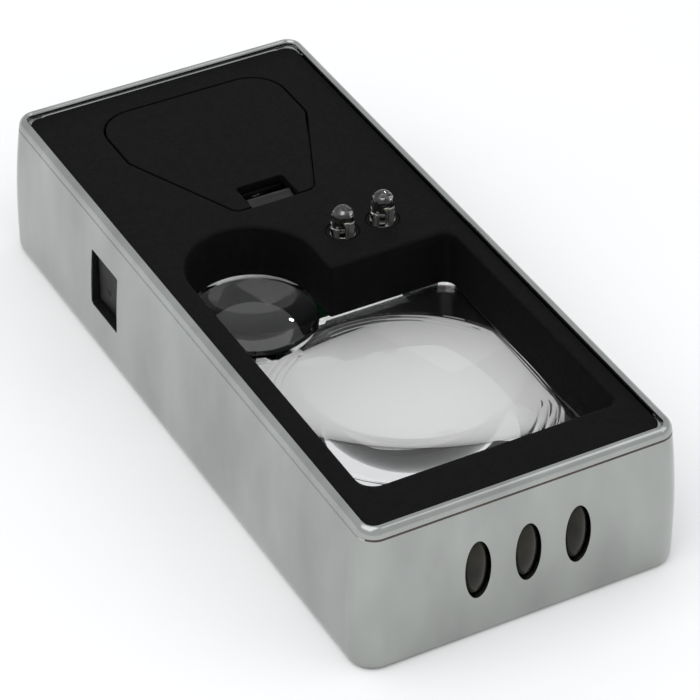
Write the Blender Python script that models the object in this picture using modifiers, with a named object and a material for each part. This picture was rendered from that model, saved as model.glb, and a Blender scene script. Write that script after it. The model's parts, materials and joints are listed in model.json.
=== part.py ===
"""Pocket banknote checker: a chromed case with a black deck, a magnifier window and loupe, a battery
door, two deck LEDs, three oval front LEDs and a rocker switch.

Sizes are in millimetres and MM turns them into metres as each mesh is made.
Frame: origin at the middle of the base, +X to the right, +Y to the battery end, +Z up.
"""

import math

import bmesh
import bpy
from mathutils import Matrix, Vector

MM = 0.001
GAP = 0.3  # between pieces that touch or rest on each other

# Case
CASE_LENGTH = 102.5
CASE_WIDTH = 45.5
CASE_HEIGHT = 21.4
FOOT_INSET = 0.45  # the foot is this much narrower than the belly
BELLY_HEIGHT = 5.35  # below this the walls are upright
TOP_LEAN = 1.13  # from the belly to the rim the walls curve in by this much
CORNER_RADIUS = 3.5
RIM_DROP = 1.2  # height of the rounded rim
RIM_ROUND = 1.0  # how far the rim's rounding runs in
INNER_HALF_WIDTH = 20.7
INNER_HALF_LENGTH = 48.9

# Deck
DECK_TOP = 20.6
DECK_THICKNESS = 1.6
DECK_BOTTOM = DECK_TOP - DECK_THICKNESS
DECK_HALF_WIDTH = 20.4
DECK_HALF_LENGTH = 48.6

# Window: corners as (x, y, radius), counterclockwise; the last two make the round loupe lobe
LOBE_RADIUS = 8.7
WINDOW = [
    (-17.25, -42.0, 2.4),
    (17.95, -42.0, 1.3),
    (17.95, -0.8, 1.8),
    (0.15, -0.8, 0.4),
    (0.15, 13.0, LOBE_RADIUS),
    (-17.25, 13.0, LOBE_RADIUS),
]
WELL_WALL = 1.0
LENS_MID = (0.35, -21.4)
LOUPE_MID = (-8.55, 13.0 - LOBE_RADIUS)

# Lens stack
FLANGE_TOP = 12.2
FLANGE_BOTTOM = 10.0
DOME_RADIUS = 19.7  # the magnifier's round dome runs past the window's long sides
DOME_CURVE = 60.45
LENS_APEX = 15.5
LOUPE_CURVE = 25.0
LOUPE_RADIUS = 8.35
LOUPE_EDGE_TOP = 13.1

# Base cover and circuit board
COVER_THICKNESS = 2.0
BOARD_BOTTOM = 3.6
BOARD_TOP = 4.8

# Battery bay
BAY_MID_X = 0.95
BAY_FAR = 44.4
DOOR = [
    (BAY_MID_X - 5.7, 16.2, 1.2),
    (BAY_MID_X + 5.7, 16.2, 1.2),
    (BAY_MID_X + 13.3, 32.9, 2.5),
    (BAY_MID_X + 13.3, BAY_FAR, 5.0),
    (BAY_MID_X - 13.3, BAY_FAR, 5.0),
    (BAY_MID_X - 13.3, 32.9, 2.5),
]
DOOR_THICKNESS = 1.5
DOOR_BOTTOM = DECK_TOP - DOOR_THICKNESS
TRAY_FLOOR = 11.4
TRAY_FLOOR_TOP = 12.4
TRAY_TOP = 18.7
LATCH_HALF_WIDTH = 3.5
LATCH_NEAR = 16.2
SLOT_FAR = 21.0
CELL_RADIUS = 5.8
CELL_HEIGHT = 5.4
CELL_BOTTOM = 13.1
CELLS = [(BAY_MID_X - 6.1, 37.2), (BAY_MID_X + 6.1, 37.2), (BAY_MID_X, 26.6)]

# LEDs
LED_RADIUS = 1.5
LED_FLANGE_RADIUS = 1.9
LED_HEIGHT = 5.6
LED_HOLE_RADIUS = 2.25
LEAD_HALF = 0.22
LEAD_SPACING = 0.65
DECK_LEDS = [(5.45, 5.7, 24.5), (11.35, 5.6, 25.0)]  # x, y and height of the dome's top
FRONT_LED_X = [-6.7, 0.3, 7.3]
FRONT_LED_Z = 10.5
FRONT_LED_HALF_WIDTH = 1.65
FRONT_LED_HALF_HEIGHT = 4.15
FRONT_FACE = CASE_LENGTH / 2 - 0.15

# Switch
SWITCH_Y = 20.3
SWITCH_Z = 11.0
SWITCH_HALF_LENGTH = 3.95
SWITCH_HALF_HEIGHT = 4.35
SIDE_FACE = CASE_WIDTH / 2 - 0.15
PIVOT_X = -(SIDE_FACE - 2.9)
ROCKER_HALF_LENGTH = 3.6
ROCKER_HALF_HEIGHT = 4.1

SCREW_PLACES = [(-17.3, -46.8), (17.3, -46.8), (-17.6, 46.5), (17.6, 46.5)]
POST_RADIUS = 1.5
HEAD_ROOM = 1.55
BOARD_SCREWS = [(-15.5, 39.5), (16.4, 17.5)]

MATERIALS = {
    "chrome": ((0.78, 0.79, 0.79), 0.16, 1.0),
    "black_abs": ((0.016, 0.016, 0.018), 0.55, 0.0),
    "acrylic": ((0.95, 0.97, 0.96), 0.03, 0.0),
    "led_epoxy": ((0.75, 0.78, 0.72), 0.05, 0.0),
    "steel": ((0.6, 0.6, 0.6), 0.3, 1.0),
    "nickel": ((0.7, 0.68, 0.62), 0.25, 1.0),
    "board_green": ((0.02, 0.16, 0.06), 0.5, 0.0),
    "resistor_tan": ((0.55, 0.42, 0.26), 0.5, 0.0),
    "wire_red": ((0.5, 0.02, 0.02), 0.45, 0.0),
    "wire_black": ((0.02, 0.02, 0.02), 0.45, 0.0),
}


def clear_scene():
    for obj in list(bpy.data.objects):
        bpy.data.objects.remove(obj)


def material(name):
    found = bpy.data.materials.get(name)
    if found:
        return found
    colour, roughness, metallic = MATERIALS[name]
    made = bpy.data.materials.new(name)
    made.use_nodes = True
    shader = made.node_tree.nodes["Principled BSDF"]
    shader.inputs["Base Color"].default_value = (*colour, 1.0)
    shader.inputs["Roughness"].default_value = roughness
    shader.inputs["Metallic"].default_value = metallic
    return made


def collection(name):
    made = bpy.data.collections.new(name)
    bpy.context.scene.collection.children.link(made)
    return made


def add(name, mesh, finish=None):
    """A new object for this mesh, in the parts' collection."""
    obj = bpy.data.objects.new(name, mesh)
    PARTS.objects.link(obj)
    if finish:
        mesh.materials.clear()
        mesh.materials.append(material(finish))
    return obj


# --- outlines -------------------------------------------------------------------------------


def arc_points(centre, radius, start, sweep, steps):
    return [
        (
            centre[0] + radius * math.cos(start + sweep * i / steps),
            centre[1] + radius * math.sin(start + sweep * i / steps),
        )
        for i in range(steps + 1)
    ]


def shifted_corners(corners, offset):
    """The polygon's corners with each side moved outwards by offset, and radii to suit."""
    count = len(corners)
    lines = []
    for i in range(count):
        a, b = Vector(corners[i][:2]), Vector(corners[(i + 1) % count][:2])
        along = (b - a).normalized()
        outward = Vector((along.y, -along.x))
        lines.append((a + outward * offset, along))
    moved = []
    for i in range(count):
        (p, u), (q, v) = lines[i - 1], lines[i]
        cross = u.x * v.y - u.y * v.x
        t = ((q.x - p.x) * v.y - (q.y - p.y) * v.x) / cross
        radius = corners[i][2] + (offset if cross > 0 else -offset)
        moved.append((p + u * t, max(radius, 0.05), u, v, cross))
    return moved


def rounded_outline(corners, offset=0.0, steps=5):
    """Points of a polygon with rounded corners, counterclockwise, grown by offset."""
    points = []
    for corner, radius, u, v, cross in shifted_corners(corners, offset):
        turn = math.acos(max(-1.0, min(1.0, u.dot(v))))
        side = 1 if cross > 0 else -1
        back = radius * math.tan(turn / 2)
        inward = Vector((-u.y, u.x)) * side
        centre = corner - u * back + inward * radius
        start = math.atan2(-inward.y, -inward.x)
        count = max(2, round(steps * max(1.0, radius / 4)))
        points += arc_points(centre, radius, start, side * turn, count)
    return points


def round_outline(centre, radius, steps=20):
    return arc_points(centre, radius, 0.0, math.tau, steps)[:-1]


def box_corners(low, high, radius=0.05):
    return [
        (low[0], low[1], radius),
        (high[0], low[1], radius),
        (high[0], high[1], radius),
        (low[0], high[1], radius),
    ]


# --- solids ---------------------------------------------------------------------------------


def welded_mesh(obj):
    """The object's evaluated mesh in world space, with loose seams closed."""
    bpy.context.view_layer.update()
    graph = bpy.context.evaluated_depsgraph_get()
    mesh = bpy.data.meshes.new_from_object(obj.evaluated_get(graph))
    mesh.transform(obj.matrix_world)
    work = bmesh.new()
    work.from_mesh(mesh)
    bmesh.ops.remove_doubles(work, verts=work.verts, dist=0.0002 * MM)
    bmesh.ops.recalc_face_normals(work, faces=work.faces)
    work.to_mesh(mesh)
    work.free()
    return mesh


def replaced_by_mesh(obj, finish=None):
    """Swaps an object for one that holds its evaluated mesh."""
    name = obj.name
    mesh = welded_mesh(obj)
    bpy.data.objects.remove(obj)
    return add(name, mesh, finish)


PLANES = {
    "XY": Matrix.Identity(4),
    "XZ": Matrix(((1, 0, 0, 0), (0, 0, -1, 0), (0, 1, 0, 0), (0, 0, 0, 1))),
    "YZ": Matrix(((0, 0, 1, 0), (1, 0, 0, 0), (0, 1, 0, 0), (0, 0, 0, 1))),
}


def slab(name, outlines, low, high, finish=None, plane="XY"):
    """A flat outline, with any holes, extruded across its plane from low to high."""
    curve = bpy.data.curves.new(name, "CURVE")
    curve.dimensions = "2D"
    curve.fill_mode = "BOTH"
    curve.extrude = (high - low) / 2 * MM
    for outline in outlines:
        spline = curve.splines.new("POLY")
        spline.points.add(len(outline) - 1)
        spline.use_cyclic_u = True
        for point, (x, y) in zip(spline.points, outline):
            point.co = (x * MM, y * MM, 0.0, 1.0)
    obj = bpy.data.objects.new(name, curve)
    PARTS.objects.link(obj)
    lift = Matrix.Translation((0, 0, (low + high) / 2 * MM))
    if plane == "XZ":
        lift = Matrix.Translation((0, 0, -(low + high) / 2 * MM))
    obj.matrix_world = PLANES[plane] @ lift
    return replaced_by_mesh(obj, finish)


def box(name, low, high, finish=None):
    mesh = bpy.data.meshes.new(name)
    work = bmesh.new()
    bmesh.ops.create_cube(work, size=1.0)
    middle = [(a + b) / 2 * MM for a, b in zip(low, high)]
    size = [(b - a) * MM for a, b in zip(low, high)]
    bmesh.ops.scale(work, vec=size, verts=work.verts)
    bmesh.ops.translate(work, vec=middle, verts=work.verts)
    work.to_mesh(mesh)
    work.free()
    return add(name, mesh, finish)


def rod(name, centre, radius, low, high, finish=None, axis="Z", steps=16):
    """A plain cylinder along Z or Y; centre is its place across that axis."""
    mesh = bpy.data.meshes.new(name)
    work = bmesh.new()
    bmesh.ops.create_cone(
        work,
        cap_ends=True,
        segments=steps,
        radius1=radius * MM,
        radius2=radius * MM,
        depth=(high - low) * MM,
    )
    if axis == "Y":
        bmesh.ops.rotate(work, matrix=Matrix.Rotation(math.pi / 2, 3, "X"), verts=work.verts)
        at = (centre[0], (low + high) / 2, centre[1])
    else:
        at = (centre[0], centre[1], (low + high) / 2)
    bmesh.ops.translate(work, vec=[c * MM for c in at], verts=work.verts)
    work.to_mesh(mesh)
    work.free()
    return add(name, mesh, finish)


def turned(name, profile, centre, finish=None, steps=24):
    """A profile of (radius, z) points, top to bottom, turned about a vertical axis."""
    mesh = bpy.data.meshes.new(name)
    mesh.from_pydata([(r * MM, 0, z * MM) for r, z in profile], [], [])
    mesh.edges.add(len(profile) - 1)
    for i, edge in enumerate(mesh.edges):
        edge.vertices = (i, i + 1)
    obj = bpy.data.objects.new(name, mesh)
    PARTS.objects.link(obj)
    obj.location = (centre[0] * MM, centre[1] * MM, 0)
    screw = obj.modifiers.new("turn", "SCREW")
    screw.steps = screw.render_steps = steps
    screw.use_merge_vertices = True
    screw.merge_threshold = 0.00001
    return replaced_by_mesh(obj, finish)


def lofted(name, rings, finish=None, closed=False):
    """Skins rings of 3D points; closed joins the last ring to the first instead of capping."""
    mesh = bpy.data.meshes.new(name)
    work = bmesh.new()
    rows = [[work.verts.new([c * MM for c in p]) for p in ring] for ring in rings]
    pairs = list(zip(rows, rows[1:] + ([rows[0]] if closed else [])))
    for lower, upper in pairs:
        for i in range(len(lower)):
            j = (i + 1) % len(lower)
            work.faces.new((lower[i], lower[j], upper[j], upper[i]))
    if not closed:
        work.faces.new(list(reversed(rows[0])))
        work.faces.new(rows[-1])
    bmesh.ops.recalc_face_normals(work, faces=work.faces)
    work.to_mesh(mesh)
    work.free()
    return add(name, mesh, finish)


def combined(obj, other, operation):
    """Applies a Boolean between two objects and removes the second."""
    modifier = obj.modifiers.new("combine", "BOOLEAN")
    modifier.operation = operation
    modifier.solver = "EXACT"
    modifier.object = other
    finish = obj.data.materials[0].name if obj.data.materials else None
    made = replaced_by_mesh(obj, finish)
    bpy.data.objects.remove(other)
    return made


def pivot_at(obj, place):
    """Moves the object's origin onto its joint's axis, leaving the shape where it is."""
    offset = Vector(place) * MM
    obj.data.transform(Matrix.Translation(-offset))
    obj.location = offset
    return obj


def cut(obj, *cutters):
    for cutter in cutters:
        obj = combined(obj, cutter, "DIFFERENCE")
    return obj


def joined(obj, *others):
    for other in others:
        obj = combined(obj, other, "UNION")
    return obj


def tube(name, points, radius, finish):
    """A round wire through these points, with a smooth path."""
    path = smooth_path([Vector(p) for p in points], 4)
    curve = bpy.data.curves.new(name, "CURVE")
    curve.dimensions = "3D"
    curve.bevel_depth = radius * MM
    curve.bevel_resolution = 1
    curve.use_fill_caps = True
    spline = curve.splines.new("POLY")
    spline.points.add(len(path) - 1)
    for point, place in zip(spline.points, path):
        point.co = (*(place * MM), 1.0)
    obj = bpy.data.objects.new(name, curve)
    PARTS.objects.link(obj)
    return replaced_by_mesh(obj, finish)


def smooth_path(points, steps):
    """Catmull-Rom points through a route."""
    ends = [points[0] * 2 - points[1]] + points + [points[-1] * 2 - points[-2]]
    path = []
    for a, b, c, d in zip(ends, ends[1:], ends[2:], ends[3:]):
        for i in range(steps):
            t = i / steps
            path.append(
                0.5 * (2 * b + (c - a) * t + (2 * a - 5 * b + 4 * c - d) * t**2
                       + (3 * b - a - 3 * c + d) * t**3)
            )
    return path + [points[-1]]


# --- case -----------------------------------------------------------------------------------


def wall_inset(z):
    """How far the wall stands inside the belly at this height."""
    foot = FOOT_INSET * max(0.0, 1 - z / 1.5) ** 2
    rise = max(0.0, (z - BELLY_HEIGHT) / (CASE_HEIGHT - BELLY_HEIGHT))
    return foot + TOP_LEAN * rise * rise


def case_ring(z, inset):
    """One level of the case's outside: a rounded rectangle."""
    lean = wall_inset(z) + inset
    half_width, half_length = CASE_WIDTH / 2 - lean, CASE_LENGTH / 2 - lean
    corners = box_corners((-half_width, -half_length), (half_width, half_length), CORNER_RADIUS - lean)
    return [(x, y, z) for x, y in rounded_outline(corners, 0.0, 6)]


def inner_ring(z):
    """One level of the case's inside, which is upright."""
    half = (INNER_HALF_WIDTH, INNER_HALF_LENGTH)
    corners = box_corners((-half[0], -half[1]), half, CORNER_RADIUS - 1.6)
    return [(x, y, z) for x, y in rounded_outline(corners, 0.0, 6)]


def chrome_shell():
    """Four bellied walls with a rolled rim, open above and below, with LED and switch windows."""
    turn = CASE_HEIGHT - RIM_DROP
    outer = [case_ring(z, 0.0) for z in (0.0, 0.5, 1.5, BELLY_HEIGHT, 9.5, 13.5, 17.0, turn)]
    for i in range(1, 5):
        angle = math.pi / 2 * i / 4
        outer.append(case_ring(turn + RIM_DROP * math.sin(angle), RIM_ROUND * (1 - math.cos(angle))))
    inner = [inner_ring(CASE_HEIGHT - 0.25), inner_ring(0.0)]
    shell = lofted("chrome_shell", outer + inner, "chrome", closed=True)
    windows = [
        slab("led_window", [oval(x, FRONT_LED_Z, FRONT_LED_HALF_WIDTH + GAP / 2,
                                 FRONT_LED_HALF_HEIGHT + GAP / 2)],
             -CASE_LENGTH, -CASE_LENGTH / 2 + 5, plane="XZ")
        for x in FRONT_LED_X
    ]
    switch = box(
        "switch_window",
        (-CASE_WIDTH, SWITCH_Y - SWITCH_HALF_LENGTH, SWITCH_Z - SWITCH_HALF_HEIGHT),
        (-CASE_WIDTH / 2 + 5, SWITCH_Y + SWITCH_HALF_LENGTH, SWITCH_Z + SWITCH_HALF_HEIGHT),
    )
    return cut(shell, *windows, switch)


def oval(x, z, half_width, half_height, steps=24):
    return [
        (x + half_width * math.cos(math.tau * i / steps),
         z + half_height * math.sin(math.tau * i / steps))
        for i in range(steps)
    ]


def deck_plate():
    """The black top cover: plate, the window's well, and four screw posts in one moulding."""
    edge = box_corners((-DECK_HALF_WIDTH, -DECK_HALF_LENGTH), (DECK_HALF_WIDTH, DECK_HALF_LENGTH), 1.7)
    holes = [rounded_outline(WINDOW), rounded_outline(DOOR, GAP)]
    holes += [round_outline((x, y), LED_HOLE_RADIUS) for x, y, _ in DECK_LEDS]
    deck = slab("deck_plate", [rounded_outline(edge)] + holes, DECK_BOTTOM, DECK_TOP, "black_abs")
    well = slab(
        "well",
        [rounded_outline(WINDOW, WELL_WALL), rounded_outline(WINDOW, 0.002)],
        FLANGE_TOP + GAP,
        DECK_BOTTOM + 0.8,
    )
    deck = joined(deck, well)
    for x, y in SCREW_PLACES:
        ring = round_outline((x, y), POST_RADIUS, 14)
        post = slab("post", [ring], COVER_THICKNESS + GAP, DECK_BOTTOM + 0.5)
        bore = rod("bore", (x, y), 0.95, 0.0, 12.0, steps=10)
        deck = cut(joined(deck, post), bore)
    return deck


def bottom_cover():
    """Flush base plate with the window's opening, four counterbored holes and two board posts."""
    half = (INNER_HALF_WIDTH - GAP, INNER_HALF_LENGTH - GAP)
    edge = box_corners((-half[0], -half[1]), half, 1.8)
    outline, window = rounded_outline(edge), rounded_outline(WINDOW, 0.3)
    narrow = [round_outline(place, 1.05, 12) for place in SCREW_PLACES]
    wide = [round_outline(place, HEAD_ROOM, 16) for place in SCREW_PLACES]
    cover = slab("bottom_cover", [outline, window] + wide, 0.0, 1.2, "black_abs")
    cover = joined(cover, slab("upper", [outline, window] + narrow, 1.15, COVER_THICKNESS))
    posts = []
    for place in BOARD_SCREWS:
        rings = [round_outline(place, 1.9, 14), round_outline(place, 0.9, 10)]
        posts.append(slab("post", rings, COVER_THICKNESS - 0.6, BOARD_BOTTOM - GAP))
    return joined(cover, *posts)


def screw(name, place, head_low, head_high, tip, head_radius, finish="steel"):
    """A pan-head screw; the shank runs from the head towards tip, with a cross recess in the head."""
    up = tip > head_high
    face, seat = (head_low, head_high) if up else (head_high, head_low)
    dish = 0.2 if up else -0.2
    profile = [
        (0.0, tip),
        (0.25, tip),
        (0.7, tip - (0.6 if up else -0.6)),
        (0.7, seat),
        (head_radius, seat),
        (head_radius, face + dish),
        (head_radius - 0.35, face),
        (0.0, face),
    ]
    made = turned(name, profile, place, finish, steps=16)
    reach = 0.45 if up else -0.45
    slots = []
    for half_x, half_y in ((0.85, 0.16), (0.16, 0.85)):
        z = sorted((face - reach * 2, face + reach))
        low = (place[0] - half_x, place[1] - half_y, z[0])
        slots.append(box("slot", low, (place[0] + half_x, place[1] + half_y, z[1])))
    return cut(made, joined(*slots))


# --- lenses ---------------------------------------------------------------------------------


def cap_drop(radius, curve):
    """How far a sphere of this curve falls away from its top, at this radius."""
    return curve - math.sqrt(curve * curve - radius * radius)


def lens_profile(radius, curve, apex, nadir, steps):
    """A biconvex lens from its top on the axis, over its edge, to its bottom."""
    top = [(radius * i / steps, apex - cap_drop(radius * i / steps, curve)) for i in range(steps + 1)]
    bottom = [(r, nadir + apex - z) for r, z in reversed(top)]
    return top + bottom


def main_lens():
    """Magnifier cut to the window: a dome above and below, a flange and a notch for the loupe."""
    top = [
        (DOME_RADIUS * i / 8, LENS_APEX - cap_drop(DOME_RADIUS * i / 8, DOME_CURVE)) for i in range(9)
    ]
    top.append((29.0, FLANGE_TOP))
    middle = FLANGE_TOP + FLANGE_BOTTOM
    disc = turned("disc", top + [(r, middle - z) for r, z in reversed(top)], LENS_MID, steps=40)
    room = WINDOW[:3] + [(WINDOW[0][0], WINDOW[2][1], 0.5)]
    plug = slab("plug", [rounded_outline(room, -GAP)], 0.0, 20.0)
    disc = combined(disc, plug, "INTERSECT")
    rim = [rounded_outline(room, WELL_WALL - 0.1), rounded_outline(room, -1.0)]
    lens = joined(disc, slab("rim", rim, FLANGE_BOTTOM, FLANGE_TOP))
    notch = rod("notch", LOUPE_MID, LOUPE_RADIUS + GAP, 5.0, 20.0, steps=40)
    lens = cut(lens, notch)
    return named(lens, "main_lens", "acrylic")


def loupe_lens():
    """Small strong round lens with a half flange that hooks under the lobe of the well."""
    apex = LOUPE_EDGE_TOP + cap_drop(LOUPE_RADIUS, LOUPE_CURVE)
    nadir = FLANGE_BOTTOM - cap_drop(LOUPE_RADIUS, LOUPE_CURVE)
    profile = lens_profile(LOUPE_RADIUS, LOUPE_CURVE, apex, nadir, 6)
    disc = turned("loupe", profile, LOUPE_MID, steps=40)
    outer = LOUPE_RADIUS + GAP + WELL_WALL - 0.2
    ring = [round_outline(LOUPE_MID, outer, 40), round_outline(LOUPE_MID, LOUPE_RADIUS - 1.0, 40)]
    flange = slab("flange", ring, FLANGE_BOTTOM, FLANGE_TOP)
    near = box("near", (-30, -30, 0), (10, 0.8, 30))
    lens = joined(disc, cut(flange, near))
    return named(lens, "loupe_lens", "acrylic")


def named(obj, name, finish):
    obj.name = name
    obj.data.materials.clear()
    obj.data.materials.append(material(finish))
    return obj


def lens_retainer():
    """Black skirt that stands on the base cover and clamps both lenses up against the well."""
    rings = [rounded_outline(WINDOW, WELL_WALL - 0.1), rounded_outline(WINDOW)]
    return slab("lens_retainer", rings, COVER_THICKNESS + GAP, FLANGE_BOTTOM - GAP, "black_abs")


# --- battery bay ----------------------------------------------------------------------------


def battery_tray():
    """Cup under the door with a ledge all round, slots for the contact tails and a tongue pocket."""
    wall = slab(
        "battery_tray",
        [rounded_outline(DOOR, 1.2), rounded_outline(DOOR, -1.1)],
        TRAY_FLOOR + 0.2,
        TRAY_TOP,
        "black_abs",
    )
    floor = slab("floor", [rounded_outline(DOOR, 1.2)], TRAY_FLOOR, TRAY_FLOOR_TOP)
    tray = joined(wall, floor)
    pocket = box(
        "pocket",
        (BAY_MID_X - 2.6, BAY_FAR - 4.0, DECK_TOP - 4.1),
        (BAY_MID_X + 2.6, BAY_FAR + 3.0, DECK_TOP + 0.5),
    )
    cuts = [pocket]
    for x, y in TAIL_PLACES:
        cuts.append(box("tail_slot", (x - 1.5, y - 0.55, 9.1), (x + 1.5, y + 0.55, 14.1)))
    return cut(tray, *cuts)


TAIL_PLACES = [(CELLS[0][0], 41.9), (CELLS[1][0], 41.9), (BAY_MID_X, 19.6)]
CONTACT_GAUGE = 0.3
PAD_BOTTOM = TRAY_FLOOR_TOP + 0.15


def contact_with_tail(name, tail, reach, width):
    """A bent strip: a pad on the tray's floor and a tail down through its slot."""
    x, y = tail
    step = 1 if reach > y else -1
    outline = [
        (y - step * CONTACT_GAUGE / 2, 10.0),
        (y + step * CONTACT_GAUGE / 2, 10.0),
        (y + step * CONTACT_GAUGE / 2, PAD_BOTTOM),
        (reach, PAD_BOTTOM),
        (reach, PAD_BOTTOM + CONTACT_GAUGE),
        (y - step * CONTACT_GAUGE / 2, PAD_BOTTOM + CONTACT_GAUGE),
    ]
    return slab(name, [outline], x - width / 2, x + width / 2, "nickel", plane="YZ")


def positive_contact():
    """A strip that stands on its tail and presses the side of the third cell."""
    x, y = TAIL_PLACES[2]
    outline = [
        (y - 0.15, 10.0),
        (y + 0.15, 10.0),
        (y + 0.15, 13.9),
        (y + 0.7, 15.1),
        (y + 0.15, 16.3),
        (y - 0.15, 16.3),
        (y + 0.4, 15.1),
        (y - 0.15, 14.1),
    ]
    return slab("contact_positive", [outline], x - 1.3, x + 1.3, "nickel", plane="YZ")


def bridge_contact(name, ends, z_low, width):
    """A flat strip with round ends that joins two cells."""
    a, b = Vector(ends[0]), Vector(ends[1])
    along = (b - a).normalized()
    start = math.atan2(along.y, along.x)
    outline = arc_points(b, width / 2, start - math.pi / 2, math.pi, 6)
    outline += arc_points(a, width / 2, start + math.pi / 2, math.pi, 6)
    return slab(name, [outline], z_low, z_low + CONTACT_GAUGE, "nickel")


def contacts():
    contact_with_tail("contact_negative", TAIL_PLACES[0], 34.0, 2.4)
    bridge_contact("contact_floor_bridge", [(6.75, 36.2), (1.95, 27.9)], PAD_BOTTOM, 2.4)
    positive_contact()
    bridge_contact(
        "contact_door_bridge",
        [(CELLS[0][0] + 1.5, 37.2), (CELLS[1][0] - 1.5, 37.2)],
        CELL_BOTTOM + CELL_HEIGHT + 0.08,
        3.0,
    )


def battery_cell(number, place):
    """A button cell: a wide can with a stepped cap."""
    top = CELL_BOTTOM + CELL_HEIGHT
    profile = [
        (0.0, top),
        (CELL_RADIUS - 1.0, top),
        (CELL_RADIUS - 0.8, top - 0.5),
        (CELL_RADIUS - 0.2, top - 0.6),
        (CELL_RADIUS, top - 0.9),
        (CELL_RADIUS, CELL_BOTTOM + 0.3),
        (CELL_RADIUS - 0.3, CELL_BOTTOM),
        (0.0, CELL_BOTTOM),
    ]
    turned(f"battery_cell_{number}", profile, place, "nickel", steps=24)


def battery_door():
    """Fan-shaped cover with a slot for its latch and a tongue that pivots under the deck's edge."""
    slot = rounded_outline(
        box_corners(
            (BAY_MID_X - LATCH_HALF_WIDTH, LATCH_NEAR - 2.0),
            (BAY_MID_X + LATCH_HALF_WIDTH, SLOT_FAR),
            0.7,
        )
    )
    door = slab("battery_door", [rounded_outline(DOOR)], DOOR_BOTTOM, DECK_TOP, "black_abs")
    door = cut(door, slab("slot", [slot], DOOR_BOTTOM - 2.0, DECK_TOP + 2.0))
    tongue = [
        (BAY_FAR - 2.4, DOOR_BOTTOM + 0.3),
        (BAY_FAR - 2.4, DECK_TOP - 3.0),
        (BAY_FAR + 1.3, DECK_TOP - 3.0),
        (BAY_FAR + 1.3, DECK_BOTTOM - 0.35),
        (BAY_FAR - 1.0, DECK_BOTTOM - 0.35),
        (BAY_FAR - 1.0, DOOR_BOTTOM + 0.3),
    ]
    door = joined(door, slab("tongue", [tongue], BAY_MID_X - 1.9, BAY_MID_X + 1.9, plane="YZ"))
    return pivot_at(door, (BAY_MID_X, BAY_FAR + GAP / 2, DECK_TOP))


def door_latch():
    """The sprung thumb bar in the door's slot, with a grip ridge and a fin below."""
    outline = [
        (LATCH_NEAR + 0.1, 19.0),
        (LATCH_NEAR + 1.6, 19.0),
        (LATCH_NEAR + 1.9, 17.3),
        (LATCH_NEAR + 2.5, 17.3),
        (LATCH_NEAR + 2.5, 19.7),
        (LATCH_NEAR + 2.1, 20.2),
        (LATCH_NEAR + 1.5, 20.2),
        (LATCH_NEAR + 1.2, 20.0),
        (LATCH_NEAR + 0.1, 20.0),
    ]
    low, high = BAY_MID_X - LATCH_HALF_WIDTH + GAP, BAY_MID_X + LATCH_HALF_WIDTH - GAP
    latch = slab("door_latch", [outline], low, high, "black_abs", plane="YZ")
    return pivot_at(latch, (BAY_MID_X, LATCH_NEAR + 1.2, DECK_TOP - 1.1))


# --- LEDs -----------------------------------------------------------------------------------


def deck_led(number, x, y, top):
    """A 3 mm LED on two long leads: a domed body with a flange and bores for the leads."""
    low = top - LED_HEIGHT
    centre = top - LED_RADIUS
    dome = [
        (LED_RADIUS * math.sin(math.radians(a)), centre + LED_RADIUS * math.cos(math.radians(a)))
        for a in range(0, 91, 18)
    ]
    profile = dome + [(LED_RADIUS, low + 0.9), (LED_FLANGE_RADIUS, low + 0.9), (LED_FLANGE_RADIUS, low), (0.0, low)]
    body = turned(f"deck_led_{number}", profile, (x, y), "led_epoxy", steps=20)
    for side, label in ((-1, "anode"), (1, "cathode")):
        at = x + side * LEAD_SPACING
        reach = low + (2.9 if side > 0 else 2.3)
        body = cut(body, rod("bore", (at, y), 0.48, low - 1.0, reach + 0.2, steps=8))
        box(
            f"deck_led_{number}_{label}",
            (at - LEAD_HALF, y - LEAD_HALF, 2.7),
            (at + LEAD_HALF, y + LEAD_HALF, reach),
            "steel",
        )


def front_led(number, x):
    """An oval LED through the front wall, with its flange behind it and leads into the strip board."""
    flange = INNER_HALF_LENGTH - GAP
    steps = [
        (-flange + 0.8, FRONT_LED_HALF_WIDTH + 0.5, FRONT_LED_HALF_HEIGHT + 0.5),
        (-flange, FRONT_LED_HALF_WIDTH + 0.5, FRONT_LED_HALF_HEIGHT + 0.5),
        (-flange, FRONT_LED_HALF_WIDTH, FRONT_LED_HALF_HEIGHT),
    ]
    rise = 0.9
    for i in range(5):
        angle = math.pi / 2 * i / 5
        share = math.cos(angle)
        steps.append((-(FRONT_FACE - 0.75 + rise * math.sin(angle)),
                      FRONT_LED_HALF_WIDTH * share, FRONT_LED_HALF_HEIGHT * share))
    rings = [[(px, y, pz) for px, pz in oval(x, FRONT_LED_Z, a, b, 20)] for y, a, b in steps]
    body = lofted(f"front_led_{number}", rings, "led_epoxy")
    for side, label in ((-1, "anode"), (1, "cathode")):
        z = FRONT_LED_Z + side * 1.27
        body = cut(body, rod("bore", (x, z), 0.5, -flange - 0.9, -flange + 2.0, axis="Y", steps=8))
        box(
            f"front_led_{number}_{label}",
            (x - LEAD_HALF, -flange - 0.5, z - LEAD_HALF),
            (x + LEAD_HALF, -44.9, z + LEAD_HALF),
            "steel",
        )


def front_led_board():
    """Narrow strip board behind the front LEDs, drilled for their leads."""
    edge = rounded_outline(box_corners((-14.0, 4.0), (14.0, 17.0), 0.3), steps=1)
    holes = [
        round_outline((x, FRONT_LED_Z + side * 1.27), 0.5, 8) for x in FRONT_LED_X for side in (-1, 1)
    ]
    slab("front_led_board", [edge] + holes, -46.6, -45.6, "board_green", plane="XZ")


# --- electrics ------------------------------------------------------------------------------


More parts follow.
